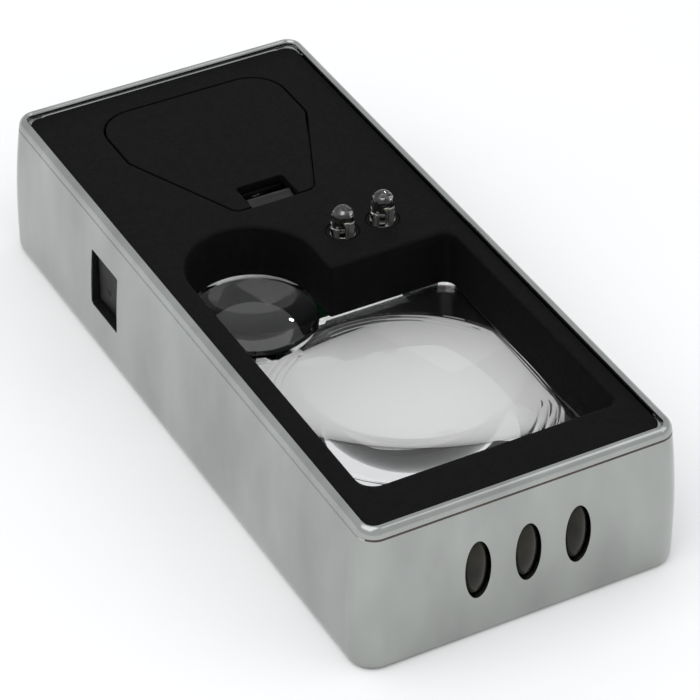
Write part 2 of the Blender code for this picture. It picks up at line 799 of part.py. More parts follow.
def circuit_board():
    """L-shaped board on the base, beside the loupe, drilled for leads, terminals and screws."""
    outline = [
        (-19.6, 15.4, 0.8),
        (2.5, 15.4, 0.8),
        (2.5, 2.0, 0.8),
        (19.6, 2.0, 0.8),
        (19.6, 43.6, 0.8),
        (-19.6, 43.6, 0.8),
    ]
    holes = [round_outline(place, 0.9, 10) for place in BOARD_SCREWS]
    holes += [
        round_outline((x + side * LEAD_SPACING, y), 0.45, 8) for x, y, _ in DECK_LEDS for side in (-1, 1)
    ]
    holes += [round_outline((TERMINAL_X, SWITCH_Y + dy), 0.65, 8) for dy in TERMINAL_OFFSETS]
    slab("circuit_board", [rounded_outline(outline, steps=2)] + holes, BOARD_BOTTOM, BOARD_TOP, "board_green")


TERMINAL_OFFSETS = (-2.5, 0.0, 2.5)
TERMINAL_X = -14.9


def switch_body():
    """Black housing behind the side wall, with a pocket for the rocker and ears for its pivot."""
    front = -(INNER_HALF_WIDTH - GAP)
    body = box(
        "switch_body",
        (front, SWITCH_Y - 5.1, BOARD_TOP + GAP),
        (-13.6, SWITCH_Y + 5.1, SWITCH_Z + 5.6),
        "black_abs",
    )
    pocket = box(
        "pocket",
        (front - 3.0, SWITCH_Y - 4.0, SWITCH_Z - 4.4),
        (-17.0, SWITCH_Y + 4.0, SWITCH_Z + 4.4),
    )
    pivot = rod("pivot", (PIVOT_X, SWITCH_Y), 0.58, SWITCH_Z - 5.0, SWITCH_Z + 5.1, steps=12)
    body = cut(body, pocket, pivot)
    return cut(body, *[rod("hole", (TERMINAL_X, SWITCH_Y + dy), 0.65, 0, 8, steps=8) for dy in TERMINAL_OFFSETS])


def switch_rocker():
    """See-saw key with a shallow V face and a dimple, on a vertical pivot."""
    face = PIVOT_X - 2.05
    h = ROCKER_HALF_LENGTH
    outline = [
        (face, SWITCH_Y - h),
        (face + 0.22, SWITCH_Y - h * 0.35),
        (face + 0.26, SWITCH_Y),
        (face + 0.22, SWITCH_Y + h * 0.35),
        (face, SWITCH_Y + h),
        (face + 2.2, SWITCH_Y + h),
        (face + 3.3, SWITCH_Y + 1.0),
        (face + 3.3, SWITCH_Y - 1.0),
        (face + 2.2, SWITCH_Y - h),
    ]
    low, high = SWITCH_Z - ROCKER_HALF_HEIGHT, SWITCH_Z + ROCKER_HALF_HEIGHT
    rocker = slab("switch_rocker", [outline], low, high, "black_abs")
    rocker = cut(rocker, rod("bore", (PIVOT_X, SWITCH_Y), 0.58, 0.0, 20.0, steps=12))
    return pivot_at(rocker, (PIVOT_X, SWITCH_Y, SWITCH_Z))


def switch_parts():
    switch_body()
    switch_rocker()
    rod("switch_pivot_pin", (PIVOT_X, SWITCH_Y), 0.5, SWITCH_Z - 4.9, SWITCH_Z + 4.9, "steel", steps=12)
    for i, dy in enumerate(TERMINAL_OFFSETS):
        low = (TERMINAL_X - 0.2, SWITCH_Y + dy - 0.4, 2.7)
        high = (TERMINAL_X + 0.2, SWITCH_Y + dy + 0.4, 7.4)
        box(f"switch_terminal_{i + 1}", low, high, "nickel")


def resistor(number, x, y):
    """A small film resistor lying along Y on the board."""
    profile = [(0.0, 3.1), (0.8, 3.1), (0.95, 2.5), (0.75, 2.0), (0.75, -2.0), (0.95, -2.5), (0.8, -3.1), (0.0, -3.1)]
    body = turned(f"resistor_{number}", profile, (0, 0), "resistor_tan", steps=12)
    place = Vector((x, y, BOARD_TOP + 1.25)) * MM
    body.data.transform(Matrix.Translation(place) @ Matrix.Rotation(math.pi / 2, 4, "X"))


def wires():
    """Four insulated leads: two from the battery contacts, two to the front strip board."""
    low = BOARD_TOP + 0.8
    red, black = (TAIL_PLACES[2][0], TAIL_PLACES[2][1]), TAIL_PLACES[0]
    tube("wire_battery_positive",
         [(red[0], red[1], 9.5), (red[0], red[1] - 0.4, 8.0), (red[0] + 2, red[1] - 1.0, 6.6),
          (red[0] + 4, red[1] - 1.0, low)], 0.45, "wire_red")
    tube("wire_battery_negative",
         [(black[0], black[1], 9.5), (black[0] - 0.6, black[1] - 0.6, 8.0), (black[0] - 2.6, black[1] - 1.6, 6.6),
          (black[0] - 4.0, black[1] - 2.0, low)], 0.45, "wire_black")
    side = INNER_HALF_WIDTH - 0.95
    for name, drop, start, z, finish in (
        ("wire_front_positive", 0.0, 7.8, 6.4, "wire_red"),
        ("wire_front_negative", -1.6, 6.0, 4.7, "wire_black"),
    ):
        route = [
            (16.6 + drop, 9.0, low),
            (17.8 + drop * 0.5, 6.0, start),
            (side - 0.2, 1.0, start - 0.4),
            (side, -7, z),
            (side, -21, z),
            (side, -35, z),
            (side, -40.5, z + 0.4),
            (side - 0.4, -42.7, z + 1.3),
            (18.1, -43.55, z + 2.3),
            (16.0, -43.6, z + 3.0),
            (13.2, -43.6, z + 3.5),
        ]
        tube(name, route, 0.35, finish)


def build():
    clear_scene()
    chrome_shell()
    deck_plate()
    bottom_cover()
    main_lens()
    loupe_lens()
    lens_retainer()
    battery_tray()
    battery_door()
    door_latch()
    contacts()
    for i, place in enumerate(CELLS):
        battery_cell(i + 1, place)
    for i, place in enumerate(SCREW_PLACES):
        screw(f"cover_screw_{i + 1}", place, 0.1, 0.85, 8.0, 1.3)
    for i, place in enumerate(BOARD_SCREWS):
        screw(f"board_screw_{i + 1}", place, BOARD_TOP + 0.15, BOARD_TOP + 0.9, 2.3, 1.5)
    for i, (x, y, top) in enumerate(DECK_LEDS):
        deck_led(i + 1, x, y, top)
    for i, x in enumerate(FRONT_LED_X):
        front_led(i + 1, x)
    front_led_board()
    circuit_board()
    switch_parts()
    for i, (x, y) in enumerate([(8.0, 13.0), (11.0, 13.0), (14.0, 13.0)]):
        resistor(i + 1, x, y)
    wires()


PARTS = collection("banknote_checker")
build()
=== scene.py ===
"""Looks for the pocket banknote checker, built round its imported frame.

Lengths here are in millimetres, in the frame's own axes, and MM turns them into metres.
"""

import json
import math

import bmesh
import bpy
from mathutils import Matrix, Vector

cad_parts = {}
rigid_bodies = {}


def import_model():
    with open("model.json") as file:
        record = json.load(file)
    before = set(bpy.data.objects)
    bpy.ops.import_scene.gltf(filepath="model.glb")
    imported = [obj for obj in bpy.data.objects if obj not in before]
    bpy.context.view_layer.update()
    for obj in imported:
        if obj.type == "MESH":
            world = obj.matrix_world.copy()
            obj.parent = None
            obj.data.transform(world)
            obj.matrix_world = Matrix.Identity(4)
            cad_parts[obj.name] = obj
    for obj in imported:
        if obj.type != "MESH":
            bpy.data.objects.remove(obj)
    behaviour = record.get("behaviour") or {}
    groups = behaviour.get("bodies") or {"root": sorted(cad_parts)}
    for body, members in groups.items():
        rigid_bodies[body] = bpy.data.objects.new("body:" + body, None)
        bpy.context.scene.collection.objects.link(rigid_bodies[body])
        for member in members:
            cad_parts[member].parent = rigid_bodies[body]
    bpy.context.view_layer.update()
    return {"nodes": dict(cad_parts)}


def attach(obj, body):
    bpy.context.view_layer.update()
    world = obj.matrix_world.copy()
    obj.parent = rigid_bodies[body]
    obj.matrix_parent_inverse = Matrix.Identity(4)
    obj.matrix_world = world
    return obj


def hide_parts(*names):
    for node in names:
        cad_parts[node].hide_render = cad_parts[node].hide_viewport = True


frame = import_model()

MM = 0.001
GAP = 0.3
CASE_LENGTH, CASE_WIDTH, CASE_HEIGHT = 102.5, 45.5, 21.4
FOOT_INSET, BELLY_HEIGHT, TOP_LEAN, CORNER_RADIUS = 0.45, 5.35, 1.13, 3.5
RIM_DROP, RIM_ROUND = 1.2, 1.0
INNER_HALF_WIDTH, INNER_HALF_LENGTH = 20.7, 48.9
DECK_TOP, DECK_BOTTOM = 20.6, 19.0
DECK_HALF_WIDTH, DECK_HALF_LENGTH = 20.4, 48.6
LOBE_RADIUS, WELL_WALL = 8.7, 1.0
WINDOW = [
    (-17.25, -42.0, 2.4),
    (17.95, -42.0, 1.3),
    (17.95, -0.8, 1.8),
    (0.15, -0.8, 0.4),
    (0.15, 13.0, LOBE_RADIUS),
    (-17.25, 13.0, LOBE_RADIUS),
]
LENS_MID, LOUPE_MID = (0.35, -21.4), (-8.55, 4.3)
FLANGE_TOP, FLANGE_BOTTOM = 12.2, 10.0
DOME_RADIUS, DOME_CURVE, LENS_APEX = 19.7, 60.45, 15.5
LENS_GROOVES = (16.6, 17.7, 18.8)
LOUPE_CURVE, LOUPE_RADIUS, LOUPE_EDGE_TOP = 25.0, 8.35, 13.1
COVER_THICKNESS = 2.0
BAY_X, BAY_FAR = 0.95, 44.4
DOOR = [
    (BAY_X - 5.7, 16.2, 1.2),
    (BAY_X + 5.7, 16.2, 1.2),
    (BAY_X + 13.3, 32.9, 2.5),
    (BAY_X + 13.3, BAY_FAR, 5.0),
    (BAY_X - 13.3, BAY_FAR, 5.0),
    (BAY_X - 13.3, 32.9, 2.5),
]
LATCH_NEAR, SLOT_FAR, LATCH_HALF = 16.2, 21.0, 3.5
CELLS = [(BAY_X - 6.1, 37.2), (BAY_X + 6.1, 37.2), (BAY_X, 26.6)]
CELL_RADIUS, CELL_BOTTOM, CELL_TOP = 5.8, 13.1, 18.5
DECK_LEDS = [(5.45, 5.7, 24.5), (11.35, 5.6, 25.0)]
LED_HOLE = 2.25
FRONT_LED_X, FRONT_LED_Z = (-6.7, 0.3, 7.3), 10.5
SWITCH_Y, SWITCH_Z, PIVOT_X = 20.3, 11.0, -19.7
SCREWS = [(-17.3, -46.8), (17.3, -46.8), (-17.6, 46.5), (17.6, 46.5)]


# --- outlines -------------------------------------------------------------------------------


def outline(corners, offset=0.0, steps=8):
    """A polygon with rounded corners, counterclockwise, grown by offset, with a fixed point count."""
    lines = []
    for i, corner in enumerate(corners):
        a, b = Vector(corner[:2]), Vector(corners[(i + 1) % len(corners)][:2])
        along = (b - a).normalized()
        lines.append((a + Vector((along.y, -along.x)) * offset, along))
    points = []
    for i, corner in enumerate(corners):
        (p, u), (q, v) = lines[i - 1], lines[i]
        cross = u.x * v.y - u.y * v.x
        t = ((q.x - p.x) * v.y - (q.y - p.y) * v.x) / cross
        side = 1 if cross > 0 else -1
        radius = max(corner[2] + side * offset, 0.03)
        turn = math.acos(max(-1.0, min(1.0, u.dot(v))))
        inward = Vector((-u.y, u.x)) * side
        centre = p + u * t - u * radius * math.tan(turn / 2) + inward * radius
        start = math.atan2(-inward.y, -inward.x)
        count = round(steps * max(1.0, corner[2] / 3))
        for k in range(count + 1):
            angle = start + side * turn * k / count
            points.append((centre.x + radius * math.cos(angle), centre.y + radius * math.sin(angle)))
    return points


def circle(centre, radius, steps=40):
    return [
        (centre[0] + radius * math.cos(math.tau * i / steps),
         centre[1] + radius * math.sin(math.tau * i / steps))
        for i in range(steps)
    ]


def box_corners(half_x, half_y, radius):
    return [(-half_x, -half_y, radius), (half_x, -half_y, radius), (half_x, half_y, radius),
            (-half_x, half_y, radius)]


# --- meshes ---------------------------------------------------------------------------------


def place(work, name, finish, body="case", sharp=35):
    """Turns a bmesh into a shaded piece that rides on a body."""
    bmesh.ops.remove_doubles(work, verts=work.verts, dist=0.0003 * MM)
    bmesh.ops.recalc_face_normals(work, faces=work.faces)
    mesh = bpy.data.meshes.new(name)
    work.to_mesh(mesh)
    work.free()
    obj = bpy.data.objects.new(name, mesh)
    bpy.context.scene.collection.objects.link(obj)
    mesh.shade_smooth()
    mesh.set_sharp_from_angle(angle=math.radians(sharp))
    mesh.materials.append(finish)
    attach(obj, body)
    return obj


def add_rings(work, rings, closed=False):
    """Skins rings of 3D points in millimetres and returns the rows of vertices."""
    rows = [[work.verts.new([c * MM for c in p]) for p in ring] for ring in rings]
    for a, b in zip(rows, rows[1:] + ([rows[0]] if closed else [])):
        for i in range(len(a)):
            j = (i + 1) % len(a)
            work.faces.new((a[i], a[j], b[j], b[i]))
    return rows


def row_edges(work, row):
    return [work.edges.get((row[i], row[(i + 1) % len(row)])) for i in range(len(row))]


def add_moulding(work, walls):
    """Adds walls, each a shape(offset) and its (offset, z) path downwards, and fills both faces."""
    tops, bottoms = [], []
    for shape, path in walls:
        rows = add_rings(work, [[(x, y, z) for x, y in shape(offset)] for offset, z in path])
        tops += row_edges(work, rows[0])
        bottoms += row_edges(work, rows[-1])
    bmesh.ops.triangle_fill(work, use_beauty=True, edges=tops)
    bmesh.ops.triangle_fill(work, use_beauty=True, edges=bottoms)


def edge_path(top, bottom, radius, side):
    """(offset, z) down a wall with rounded edges; side is 1 for a hole and -1 for an outer edge."""
    path = [(side * radius * 2.2, top)]
    for i in range(6):
        angle = math.pi / 2 * i / 5
        path.append((side * radius * (1 - math.sin(angle)), top - radius * (1 - math.cos(angle))))
    foot = min(0.15, radius)
    path += [(0.0, bottom + foot), (side * foot * 0.3, bottom + foot * 0.3), (side * foot, bottom)]
    return path


def add_turned(work, profile, centre, steps=48):
    """Turns (radius, z) points about a vertical axis; a radius of 0 closes the end."""
    rings = [[(x, y, z) for x, y in circle(centre, max(r, 0.004), steps)] for r, z in profile]
    rows = add_rings(work, rings)
    for row, radius in ((rows[0], profile[0][0]), (rows[-1], profile[-1][0])):
        if radius < 0.01:
            work.faces.new(row)


def add_box(work, low, high, radius=0.1, segments=2):
    """A box with rounded edges."""
    part = bmesh.ops.create_cube(work, size=1.0)["verts"]
    bmesh.ops.scale(work, vec=[(b - a) * MM for a, b in zip(low, high)], verts=part)
    bmesh.ops.translate(work, vec=[(a + b) / 2 * MM for a, b in zip(low, high)], verts=part)
    edges = list({e for v in part for e in v.link_edges})
    bmesh.ops.bevel(work, geom=edges, offset=radius * MM, segments=segments, profile=0.5, affect="EDGES")


def cap_drop(radius, curve):
    return curve - math.sqrt(curve * curve - radius * radius)


# --- finishes -------------------------------------------------------------------------------


def finish(
    name,
    colour,
    roughness,
    metallic=0.0,
    specular=0.5,
    tint=(0.1, 120.0),
    rough_spread=(0.06, 300.0),
    bumps=((2500.0, 0.1, 0.02),),
    clear=0.0,
    ior=1.5,
    coat=0.0,
    stretch=1.0,
):
    """A Principled finish with noise in its colour and roughness and layered bumps.

    tint and rough_spread are (amount, scale); each bump is (scale, strength, distance in mm).
    """
    made = bpy.data.materials.new(name)
    made.use_nodes = True
    nodes, links = made.node_tree.nodes, made.node_tree.links
    shader = nodes["Principled BSDF"]
    shader.inputs["Metallic"].default_value = metallic
    shader.inputs["Specular IOR Level"].default_value = specular
    shader.inputs["Transmission Weight"].default_value = clear
    shader.inputs["IOR"].default_value = ior
    shader.inputs["Coat Weight"].default_value = coat
    where = nodes.new("ShaderNodeTexCoord")
    scaled = nodes.new("ShaderNodeMapping")
    scaled.inputs["Scale"].default_value = (1.0, 1.0, stretch)
    links.new(where.outputs["Object"], scaled.inputs["Vector"])

    def grain(scale, detail=3.0):
        noise = nodes.new("ShaderNodeTexNoise")
        noise.inputs["Scale"].default_value = scale
        noise.inputs["Detail"].default_value = detail
        links.new(scaled.outputs["Vector"], noise.inputs["Vector"])
        return noise.outputs["Fac"]

    ramp = nodes.new("ShaderNodeValToRGB")
    ramp.color_ramp.elements[0].position = 0.3
    ramp.color_ramp.elements[1].position = 0.7
    ramp.color_ramp.elements[0].color = (*[c * (1 - tint[0]) for c in colour], 1.0)
    ramp.color_ramp.elements[1].color = (*[min(1.0, c * (1 + tint[0])) for c in colour], 1.0)
    links.new(grain(tint[1]), ramp.inputs["Fac"])
    links.new(ramp.outputs["Color"], shader.inputs["Base Color"])

    spread = nodes.new("ShaderNodeMapRange")
    spread.inputs["From Min"].default_value = 0.3
    spread.inputs["From Max"].default_value = 0.7
    spread.inputs["To Min"].default_value = max(0.0, roughness - rough_spread[0])
    spread.inputs["To Max"].default_value = roughness + rough_spread[0]
    links.new(grain(rough_spread[1]), spread.inputs["Value"])
    links.new(spread.outputs["Result"], shader.inputs["Roughness"])

    last = None
    for scale, strength, distance in bumps:
        bump = nodes.new("ShaderNodeBump")
        bump.inputs["Strength"].default_value = strength
        bump.inputs["Distance"].default_value = distance * MM
        links.new(grain(scale), bump.inputs["Height"])
        if last:
            links.new(last.outputs["Normal"], bump.inputs["Normal"])
        last = bump
    links.new(last.outputs["Normal"], shader.inputs["Normal"])
    return made


CHROME = finish("plated_chrome", (0.355, 0.368, 0.352), 0.17, 1.0, tint=(0.13, 120.0),
                rough_spread=(0.07, 90.0),
                bumps=((60.0, 0.4, 0.3), (330.0, 0.22, 0.05), (1500.0, 0.1, 0.01)), stretch=0.4)
DECK_BLACK = finish("textured_black", (0.0026, 0.0026, 0.0028), 0.7, specular=0.09, tint=(0.25, 900.0),
                    rough_spread=(0.06, 2600.0), bumps=((2600.0, 0.5, 0.06),))
SATIN_BLACK = finish("satin_black", (0.005, 0.005, 0.0053), 0.4, specular=0.35, tint=(0.2, 300.0),
                     rough_spread=(0.06, 900.0), bumps=((1500.0, 0.25, 0.03),))
SWITCH_BLACK = finish("switch_black", (0.003, 0.003, 0.0033), 0.42, specular=0.18, tint=(0.2, 500.0),
                      bumps=((1800.0, 0.2, 0.02),))
ACRYLIC = finish("clear_acrylic", (0.9, 0.905, 0.898), 0.004, tint=(0.008, 60.0),
                 rough_spread=(0.003, 60.0),
                 bumps=((70.0, 0.03, 0.01),), clear=1.0, ior=1.49)
# The epoxy is clear; its grey tint is partly painted shade, darkening the deck LEDs for the dark case
# interior seen through them.
LED_CLEAR = finish("led_epoxy", (0.6, 0.6, 0.57), 0.04, tint=(0.04, 500.0), rough_spread=(0.02, 900.0),
                   bumps=((700.0, 0.12, 0.03),), clear=1.0, ior=1.53)
# Near-black opaque colour for the front LEDs: painted shade for the dark case interior seen through their
# clear epoxy; the olive mottle is random tone.
OVAL_LED_PAINTED_SHADE = finish("oval_led_painted_shade", (0.012, 0.011, 0.007), 0.13, specular=0.22, tint=(0.6, 260.0),
                   rough_spread=(0.05, 700.0), bumps=((420.0, 0.2, 0.05),))
LED_CUP = finish("led_reflector", (0.72, 0.72, 0.7), 0.25, 1.0, bumps=((2500.0, 0.1, 0.02),))
PHOSPHOR = finish("led_phosphor", (0.75, 0.66, 0.2), 0.6, tint=(0.15, 3000.0))
NICKEL = finish("nickel_plate", (0.6, 0.58, 0.54), 0.24, 1.0, tint=(0.08, 300.0),
                bumps=((900.0, 0.15, 0.03),))
STEEL = finish("zinc_plate", (0.52, 0.53, 0.54), 0.3, 1.0, tint=(0.12, 700.0),
               bumps=((1800.0, 0.25, 0.02),))
# Dark brown for the line in the rim's crease: a painted reflection, not a coating of the case.
PAINTED_CREASE_LINE = finish("painted_crease_reflection", (0.035, 0.02, 0.012), 0.4, tint=(0.5, 200.0))
LEADS = finish("tinned_wire", (0.62, 0.62, 0.6), 0.35, 1.0, tint=(0.1, 900.0))
BOARD = finish("solder_mask", (0.012, 0.11, 0.04), 0.35, tint=(0.25, 400.0),
               bumps=((700.0, 0.3, 0.04),), coat=0.3)
RESISTOR = finish("resistor_lacquer", (0.5, 0.36, 0.2), 0.35, tint=(0.15, 700.0))
RED = finish("red_insulation", (0.42, 0.015, 0.012), 0.4, tint=(0.15, 500.0))
WIRE_BLACK = finish("black_insulation", (0.012, 0.012, 0.012), 0.42, tint=(0.2, 500.0))


# --- case -----------------------------------------------------------------------------------


def wall_inset(z):
    foot = FOOT_INSET * max(0.0, 1 - z / 1.5) ** 2
    rise = max(0.0, (z - BELLY_HEIGHT) / (CASE_HEIGHT - BELLY_HEIGHT))
    return foot + TOP_LEAN * rise * rise


def case_ring(z, inset):
    lean = wall_inset(z) + inset
    corners = box_corners(CASE_WIDTH / 2, CASE_LENGTH / 2, CORNER_RADIUS)
    return [(x, y, z) for x, y in outline(corners, -lean, 16)]


def rim_crease_reflection():
    """Dark brown line painted in the crease below the rim, along the front: a painted reflection."""
    rings = [(19.7, 0.02), (19.7, 0.16), (19.95, 0.16), (19.95, 0.02)]
    work = bmesh.new()
    rows = [[work.verts.new([c * MM for c in p]) for p in case_ring(z, inset)[8:32]] for z, inset in rings]
    for a, b in zip(rows, rows[1:] + rows[:1]):
        for i in range(len(a) - 1):
            work.faces.new((a[i], a[i + 1], b[i + 1], b[i]))
    work.faces.new([row[0] for row in rows])
    work.faces.new([row[-1] for row in rows])
    place(work, "rim_crease_reflection", PAINTED_CREASE_LINE)


def inner_ring(z):
    corners = box_corners(INNER_HALF_WIDTH, INNER_HALF_LENGTH, CORNER_RADIUS)
    return [(x, y, z) for x, y in outline(corners, 0.0, 16)]


def oval(x, half_width, half_height, steps=48):
    return [
        (x + half_width * math.cos(math.tau * i / steps),
         FRONT_LED_Z + half_height * math.sin(math.tau * i / steps))
        for i in range(steps)
    ]


def case_skin():
    """The chromed wall: its belly, its crease and rim, and its oval and square windows."""
    rings = [case_ring(0.0, 0.3), case_ring(0.08, 0.12)]
    rings += [case_ring(z, 0.0) for z in (0.3, 0.6, 1.0, 1.5, 3.5, BELLY_HEIGHT, 7.5, 9.5, 11.5,
                                          13.5, 15.5, 17.0, 18.5)]
    crease = ((19.68, 0.0), (19.74, 0.13), (19.92, 0.13), (19.98, 0.0))
    rings += [case_ring(z, inset) for z, inset in crease]
    turn = CASE_HEIGHT - RIM_DROP
    for i in range(13):
        angle = math.pi / 2 * i / 12
        rings.append(case_ring(turn + RIM_DROP * math.sin(angle), RIM_ROUND * 0.8 * (1 - math.cos(angle))))
    inside = CASE_WIDTH / 2 - TOP_LEAN - INNER_HALF_WIDTH
    rings += [case_ring(CASE_HEIGHT - 0.05, inside - 0.1), case_ring(CASE_HEIGHT - 0.2, inside + 0.12)]
    rings += [case_ring(CASE_HEIGHT - 0.45, inside + 0.24), case_ring(DECK_TOP + 0.06, inside + 0.28)]
    rings += [case_ring(DECK_TOP + 0.04, inside), inner_ring(DECK_TOP - 0.2), inner_ring(0.0)]
    work = bmesh.new()
    add_rings(work, rings, closed=True)
    skin = place(work, "case_skin", CHROME, sharp=40)
    cutters = bmesh.new()
    for x in FRONT_LED_X:
        rows = add_rings(cutters, [[(px, y, pz) for px, pz in oval(x, 1.8, 4.3)] for y in (-56.0, -45.0)])
        cutters.faces.new(rows[0])
        cutters.faces.new(rows[1])
    add_box(cutters, (-30.0, SWITCH_Y - 3.95, SWITCH_Z - 4.35),
            (-17.0, SWITCH_Y + 3.95, SWITCH_Z + 4.35), 0.35, 3)
    cutter = place(cutters, "windows", CHROME)
    modifier = skin.modifiers.new("cut", "BOOLEAN")
    modifier.operation, modifier.solver, modifier.object = "DIFFERENCE", "EXACT", cutter
    apply_modifiers(skin)
    bpy.data.objects.remove(cutter)
    bevel = skin.modifiers.new("edges", "BEVEL")
    bevel.width, bevel.segments = 0.14 * MM, 3
    bevel.limit_method, bevel.angle_limit = "ANGLE", math.radians(40)
    bevel.use_clamp_overlap = True
    normals = skin.modifiers.new("normals", "WEIGHTED_NORMAL")
    normals.keep_sharp = True
    apply_modifiers(skin)
    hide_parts("chrome_shell")
    return skin


def apply_modifiers(obj):
    graph = bpy.context.evaluated_depsgraph_get()
    mesh = bpy.data.meshes.new_from_object(obj.evaluated_get(graph), depsgraph=graph)
    mesh.materials.clear()
    mesh.materials.append(obj.data.materials[0])
    obj.modifiers.clear()
    obj.data = mesh


# --- deck, well and base --------------------------------------------------------------------


def deck():
    """Top cover, with rounded lips round the window, the door and the LED holes."""
    edge = box_corners(DECK_HALF_WIDTH, DECK_HALF_LENGTH, 1.7)
    window_path = edge_path(DECK_TOP, FLANGE_TOP + GAP, 0.45, 1)[:-3]
    window_path += [(0.0, FLANGE_TOP + GAP + 0.1), (0.1, FLANGE_TOP + GAP), (WELL_WALL, FLANGE_TOP + GAP),
                    (WELL_WALL, DECK_BOTTOM)]
    walls = [
        (lambda o: outline(edge, o), edge_path(DECK_TOP, DECK_BOTTOM, 0.12, -1)),
        (lambda o: outline(WINDOW, o), window_path),
        (lambda o: outline(DOOR, GAP + o), edge_path(DECK_TOP, DECK_BOTTOM, 0.12, 1)),
    ]
    for x, y, _ in DECK_LEDS:
        walls.append((lambda o, at=(x, y): circle(at, LED_HOLE + o, 36),
                      edge_path(DECK_TOP, DECK_BOTTOM, 0.2, 1)))
    work = bmesh.new()
    add_moulding(work, walls)
    for at in SCREWS:
        add_turned(work, [(0.0, DECK_BOTTOM), (1.5, DECK_BOTTOM), (1.5, COVER_THICKNESS + GAP),
                          (0.95, COVER_THICKNESS + GAP),
                          (0.95, 12.0), (0.0, 12.0)], at, 20)
    piece = place(work, "deck_moulding", DECK_BLACK)
    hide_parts("deck_plate")


def base():
    """Bottom cover with its window and counterbored holes."""
    edge = box_corners(INNER_HALF_WIDTH - GAP, INNER_HALF_LENGTH - GAP, 1.8)
    walls = [
        (lambda o: outline(edge, o), [(-0.15, 2.0), (0.0, 1.85), (0.0, 0.25), (-0.08, 0.08),
                                      (-0.25, 0.0), (-0.6, 0.0)]),
        (lambda o: outline(WINDOW, 0.3 + o),
         [(0.15, 2.0), (0.0, 1.85), (0.0, 0.3), (0.1, 0.1), (0.3, 0.0), (0.6, 0.0)]),
    ]
    for at in SCREWS:
        walls.append((lambda o, at=at: circle(at, o, 28),
                      [(1.05, 2.0), (1.05, 1.15), (1.55, 1.15), (1.55, 0.1), (1.64, 0.0)]))
    work = bmesh.new()
    add_moulding(work, walls)
    for at in [(-15.5, 39.5), (16.4, 17.5)]:
        add_turned(work, [(0.9, 3.3), (1.8, 3.3), (1.9, 3.2), (1.9, 1.9)], at, 20)
    piece = place(work, "base_moulding", DECK_BLACK)
    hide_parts("bottom_cover")


def retainer():
    rings = [(0.9, FLANGE_BOTTOM - 0.3), (0.05, FLANGE_BOTTOM - 0.3), (0.0, FLANGE_BOTTOM - 0.4),
             (0.0, 2.4), (0.1, 2.3), (0.9, 2.3)]
    work = bmesh.new()
    add_rings(work, [[(x, y, z) for x, y in outline(WINDOW, o)] for o, z in rings], closed=True)
    piece = place(work, "window_skirt", SATIN_BLACK)
    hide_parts("lens_retainer")


def screws():
    for i, at in enumerate(SCREWS):
        work = bmesh.new()
        head = [(0.0, 0.1), (0.85, 0.1), (1.05, 0.14), (1.22, 0.26), (1.3, 0.42), (1.3, 0.85),
                (0.7, 0.85), (0.7, 7.4), (0.25, 8.0), (0.0, 8.0)]
        add_turned(work, head, at, 32)
        piece = place(work, f"base_screw_{i + 1}", STEEL)
        cross = bmesh.new()
        for half_x, half_y in ((0.8, 0.15), (0.15, 0.8)):
            add_box(cross, (at[0] - half_x, at[1] - half_y, -0.5),
                    (at[0] + half_x, at[1] + half_y, 0.5), 0.04)
        cutter = place(cross, "cross", STEEL)
        modifier = piece.modifiers.new("cut", "BOOLEAN")
        modifier.operation, modifier.solver, modifier.object = "DIFFERENCE", "EXACT", cutter
        modifier.use_self = True
        apply_modifiers(piece)
        bpy.data.objects.remove(cutter)
        piece.data.set_sharp_from_angle(angle=math.radians(35))
        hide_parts(f"cover_screw_{i + 1}")


# --- lenses ---------------------------------------------------------------------------------


def lens_outline(inset):
    """The window's square part with a round bite for the loupe."""
    left, right, near, far = WINDOW[0][0], WINDOW[1][0], WINDOW[0][1], WINDOW[2][1]
    corners = [(left, near, 2.4), (right, near, 1.3), (right, far, 1.8)]
    points = outline(corners + [(left, far, 0.3)], -inset, 8)[: 3 * 9]
    radius = LOUPE_RADIUS + GAP + max(0.0, inset - GAP)
    drop = LOUPE_MID[1] - (far - inset)
    half = math.sqrt(max(radius * radius - drop * drop, 0.01))
    start = math.atan2(-drop, half)
    end = math.atan2(-drop, -half)
    if end > 0:
        end -= math.tau
    count = 28
    arc = [
        (LOUPE_MID[0] + radius * math.cos(start + (end - start) * k / count),
         LOUPE_MID[1] + radius * math.sin(start + (end - start) * k / count))
        for k in range(count + 1)
    ]
    points += [p for p in arc if p[0] > left + inset + 0.05]
    points.append((left + inset, far - inset))
    return points


def divided(points, pieces):
    """The same outline with each side cut into its number of pieces."""
    cut = []
    for i, (x, y) in enumerate(points):
        far_x, far_y = points[(i + 1) % len(points)]
        for k in range(pieces[i]):
            share = k / pieces[i]
            cut.append((x + (far_x - x) * share, y + (far_y - y) * share))
    return cut


